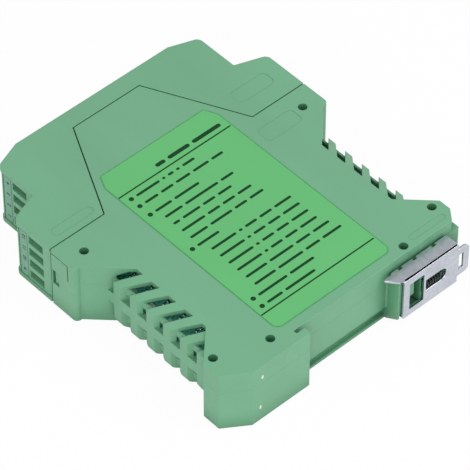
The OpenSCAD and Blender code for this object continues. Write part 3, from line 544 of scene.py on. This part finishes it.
# Each row: the extra space above it and its indent in millimetres, whether it has a bullet, and its bars' lengths.
ROWS = [
    (0.0, 0.0, True, [8.8, 1.0, 2.0, 1.2, 4.6]),
    (0.1, 0.0, True, [5.0, 4.6, 5.4, 6.0, 4.4]),
    (0.9, 0.0, True, [6.2, 9.4]),
    (0.0, 0.5, False, [6.6, 12.6, 4.8]),
    (0.0, 0.5, False, [2.4, 6.6, 4.6, 5.2]),
    (0.0, 0.5, False, [8.8, 4.6, 4.6, 5.2]),
    (0.0, 0.5, False, [6.6, 8.2, 4.6, 5.2]),
    (0.0, 0.0, True, [8.2]),
    (0.1, 2.0, False, [9.4, 1.2, 4.4, 4.6, 6.4]),
    (0.0, 2.0, False, [9.4, 1.2, 4.4, 4.6, 6.4]),
    (0.0, 2.0, False, [9.4, 1.2, 4.4, 4.6, 6.4]),
    (0.0, 2.0, False, [9.4, 1.2, 4.4, 4.6, 6.4]),
    (0.0, 2.0, False, [8.0, 9.0, 5.4, 6.2]),
    (0.0, 2.0, False, [8.0, 9.4, 5.4, 7.2]),
    (0.1, 0.0, True, [11.0, 9.2]),
    (0.1, 0.0, True, [5.8, 11.4]),
]
marks = [[(RULE_X[0], y - RULE_W / 2), (RULE_X[1], y - RULE_W / 2), (RULE_X[1], y + RULE_W / 2),
          (RULE_X[0], y + RULE_W / 2)] for y in RULE_Y]


def row_of_bars(x, y, lengths, height):
    """Bars in a row from x on, with lengths in millimetres."""
    for length in lengths:
        marks.append(bar(x, x + length * MM, y, height))
        x += length * MM + BAR_GAP


row_y = FIRST_ROW_Y + ROW_PITCH
for space, indent, bullet, lengths in ROWS:
    row_y -= ROW_PITCH + space * MM
    if bullet:
        marks.append(disc(BULLET_X, row_y, BULLET_D))
    row_of_bars(ROW_X + indent * MM, row_y, lengths, BAR_H)
row_of_bars(TITLE_X, TITLE_Y, TITLE_BARS, TITLE_BAR_H)
flat_shape("label_print", marks, label_top, PRINT_T, HOUSING, "label_film", label_ink)

# The film under the print, and a fine darker line round its edge: painted shade of the film's thickness.
BORDER_W = 0.3 * MM
UPWARDS = 0.9
shape = whole_faces("label")
for vert in shape.verts:
    vert.co.z = min(vert.co.z, label_top)
mesh = as_mesh(shape.copy(), "label_sheet")
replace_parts(piece("label_sheet", mesh, HOUSING, "label_film", label_film), "label")
sheet = [face for face in shape.faces if face.normal.z > UPWARDS]
ring = bmesh.ops.inset_region(shape, faces=sheet, thickness=BORDER_W)["faces"]
bmesh.ops.delete(shape, geom=[face for face in shape.faces if face not in ring], context="FACES")
thicken(shape, (0, 0, PRINT_T / 2))
piece("label_border", as_mesh(shape, "label_border"), HOUSING, "label_film", label_edge_shade)

# Two pale spots on the fixed foot's rail side, each a flat oval. The Y value is the foot's face, and each place is
# along X and Z.
SPOT_W = 0.8 * MM
SPOT_H = 1.6 * MM
SPOT_Y = -55.75 * MM
SPOT_PLACES = ((-34.3 * MM, 17.85 * MM), (-35.0 * MM, 5.45 * MM))
shape = bmesh.new()
for x, z in SPOT_PLACES:
    shape.faces.new([shape.verts.new((x + u * SPOT_W / SPOT_H, SPOT_Y, z + v)) for u, v in disc(0, 0, SPOT_H)])
thicken(shape, (0, -PRINT_T, 0))
piece("pale_spots", as_mesh(shape, "pale_spots"), HOUSING, "housing", pale_spot)


# Numbers on the marker strips
DIGIT_H = 2.0 * MM
DIGIT_T = 0.012 * MM
DIGIT_BOLD = 0.05 * MM
DIGIT_STEPS = 3
POLES = 4


def digits(name, texts, size, thickness, body, slot, finish):
    """Numbers as one flat piece. Each text has a matrix that puts it in place."""
    made = []
    for text, place in texts:
        curve = bpy.data.curves.new(name, "FONT")
        curve.body = text
        curve.size = size
        curve.align_x = "CENTER"
        curve.align_y = "CENTER"
        curve.extrude = thickness
        curve.offset = DIGIT_BOLD
        curve.resolution_u = DIGIT_STEPS
        obj = bpy.data.objects.new(name, curve)
        bpy.context.scene.collection.objects.link(obj)
        obj.matrix_world = place
        made.append(obj)
    bpy.context.view_layer.update()
    depsgraph = bpy.context.evaluated_depsgraph_get()
    shape = bmesh.new()
    for obj in made:
        mesh = bpy.data.meshes.new_from_object(obj.evaluated_get(depsgraph))
        mesh.transform(obj.matrix_world)
        shape.from_mesh(mesh)
        bpy.data.meshes.remove(mesh)
        bpy.data.objects.remove(obj)
    return piece(name, as_mesh(shape, name), body, slot, finish)


# One number for each pole, read with the front face upwards.
numbers = []
for index, name in enumerate(MARKERS):
    low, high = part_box(name)
    side = 1 if high.x > 0 else -1
    face_x = high.x if side > 0 else low.x
    pitch = (high.z - low.z) / POLES
    for pole in range(POLES):
        across = Vector((0, 0, -side))
        up = Vector((0, 1, 0))
        out = Vector((side, 0, 0))
        z = low.z + (pole + 0.5) * pitch
        place = Matrix((across, up, out)).transposed().to_4x4()
        place.translation = Vector((face_x, (low.y + high.y) / 2, z))
        numbers.append((str(index * POLES + pole + 1), place))
digits("marker_numbers", numbers, DIGIT_H, DIGIT_T, HOUSING, "marker", marker_ink)

# Coil of round wire behind the latch's oval window. The real spring is squeezed as the latch is pulled; this coil
# keeps one length.
SPRING_TURNS = 6.5
WIRE_D = 0.55 * MM
WIRE_SIDES = 10
TURN_STEPS = 24
spring_low, spring_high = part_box("latch_spring")
spring_mid = (spring_low + spring_high) / 2
coil_r = (spring_high.z - spring_low.z) / 2 - WIRE_D / 2
coil_l = spring_high.x - spring_low.x - WIRE_D
shape = bmesh.new()
rings = []
for i in range(int(SPRING_TURNS * TURN_STEPS) + 1):
    share = i / (SPRING_TURNS * TURN_STEPS)
    angle = 2 * math.pi * SPRING_TURNS * share
    radial = Vector((0, math.cos(angle), math.sin(angle)))
    centre = Vector((spring_low.x + WIRE_D / 2 + coil_l * share, spring_mid.y, spring_mid.z)) + radial * coil_r
    ring = []
    for k in range(WIRE_SIDES):
        turn = 2 * math.pi * k / WIRE_SIDES
        ring.append(shape.verts.new(centre + WIRE_D / 2 * (math.cos(turn) * radial
                                                            + math.sin(turn) * Vector((1, 0, 0)))))
    rings.append(ring)
for a, b in zip(rings, rings[1:]):
    for k in range(WIRE_SIDES):
        after = (k + 1) % WIRE_SIDES
        shape.faces.new((a[k], a[after], b[after], b[k]))
shape.faces.new(rings[0][::-1])
shape.faces.new(rings[-1])
bmesh.ops.recalc_face_normals(shape, faces=shape.faces)
for face in shape.faces:
    face.smooth = True
spring = piece("spring_coil", as_mesh(shape, "spring_coil"), HOUSING, "spring_steel", spring_wire)
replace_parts(spring, "latch_spring")
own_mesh(spring)

# Studio: white floor that keeps a faint soft shadow, even light from all round, and a key and a fill lamp
FLOOR_WHITE = 0.95
FLOOR_GREY = (0.85, 0.85, 0.85, 1)
FLOOR_HALF = 3.0
WORLD_LIGHT = 0.65
KEY_PLACE = Vector((-0.75, -0.55, 0.75))
KEY_WATTS = 5.0
FILL_PLACE = Vector((0.45, -0.65, 0.9))
FILL_WATTS = 4.0
LAMP_SIZE = 0.7


def white_studio():
    """Floor material that looks white to the camera and in reflections, and still takes a shadow."""
    made, tree, shader = material("studio_white", Base_Color=FLOOR_GREY, Roughness=0.9)
    path = add(tree, "ShaderNodeLightPath")
    seen = add(tree, "ShaderNodeMath", {0: path.outputs["Is Camera Ray"], 1: path.outputs["Is Glossy Ray"]},
               operation="MAXIMUM")
    seen = add(tree, "ShaderNodeMath", {0: seen.outputs[0], 1: path.outputs["Is Transmission Ray"]},
               operation="MAXIMUM")
    share = add(tree, "ShaderNodeMath", {0: seen.outputs[0], 1: FLOOR_WHITE}, operation="MULTIPLY")
    glow = add(tree, "ShaderNodeEmission", {"Color": (1, 1, 1, 1), "Strength": 1.0})
    mixed = add(tree, "ShaderNodeMixShader", {0: share.outputs[0], 1: shader.outputs[0], 2: glow.outputs[0]})
    tree.links.new(mixed.outputs[0], tree.nodes["Material Output"].inputs["Surface"])
    return made


floor_mesh = bpy.data.meshes.new("floor")
floor_mesh.from_pydata([(-FLOOR_HALF, -FLOOR_HALF, 0), (FLOOR_HALF, -FLOOR_HALF, 0), (FLOOR_HALF, FLOOR_HALF, 0),
                        (-FLOOR_HALF, FLOOR_HALF, 0)], [], [(0, 1, 2, 3)])
floor_mesh.materials.append(white_studio())
floor = bpy.data.objects.new("floor", floor_mesh)
bpy.context.scene.collection.objects.link(floor)

world = bpy.data.worlds.new("studio")
bpy.context.scene.world = world
world.use_nodes = True
sky = world.node_tree
background = sky.nodes["Background"]
background.inputs["Color"].default_value = (1, 1, 1, 1)
rays = add(sky, "ShaderNodeLightPath")
level = add(sky, "ShaderNodeMapRange", {"Value": rays.outputs["Is Camera Ray"], "To Min": WORLD_LIGHT,
                                        "To Max": 1.0})
sky.links.new(level.outputs["Result"], background.inputs["Strength"])


def area_lamp(name, place, watts):
    """A square soft lamp aimed at the object."""
    data = bpy.data.lights.new(name, "AREA")
    data.size = LAMP_SIZE
    data.energy = watts
    lamp_object = bpy.data.objects.new(name, data)
    bpy.context.scene.collection.objects.link(lamp_object)
    lamp_object.location = place
    lamp_object.rotation_mode = "QUATERNION"
    lamp_object.rotation_quaternion = (TARGET - lamp_object.location).to_track_quat("-Z", "Y")


area_lamp("key", KEY_PLACE, KEY_WATTS)
area_lamp("fill", FILL_PLACE, FILL_WATTS)

camera_data = bpy.data.cameras.new("camera")
camera_data.lens = LENS_MM
camera = bpy.data.objects.new("camera", camera_data)
bpy.context.scene.collection.objects.link(camera)
back = Vector((math.sin(AZIMUTH) * math.cos(ELEVATION), -math.cos(AZIMUTH) * math.cos(ELEVATION),
               math.sin(ELEVATION)))
camera.location = TARGET + back * DISTANCE
camera.rotation_mode = "QUATERNION"
camera.rotation_quaternion = (-back).to_track_quat("-Z", "Y")
bpy.context.scene.camera = camera
bpy.context.scene.view_settings.view_transform = "Standard"
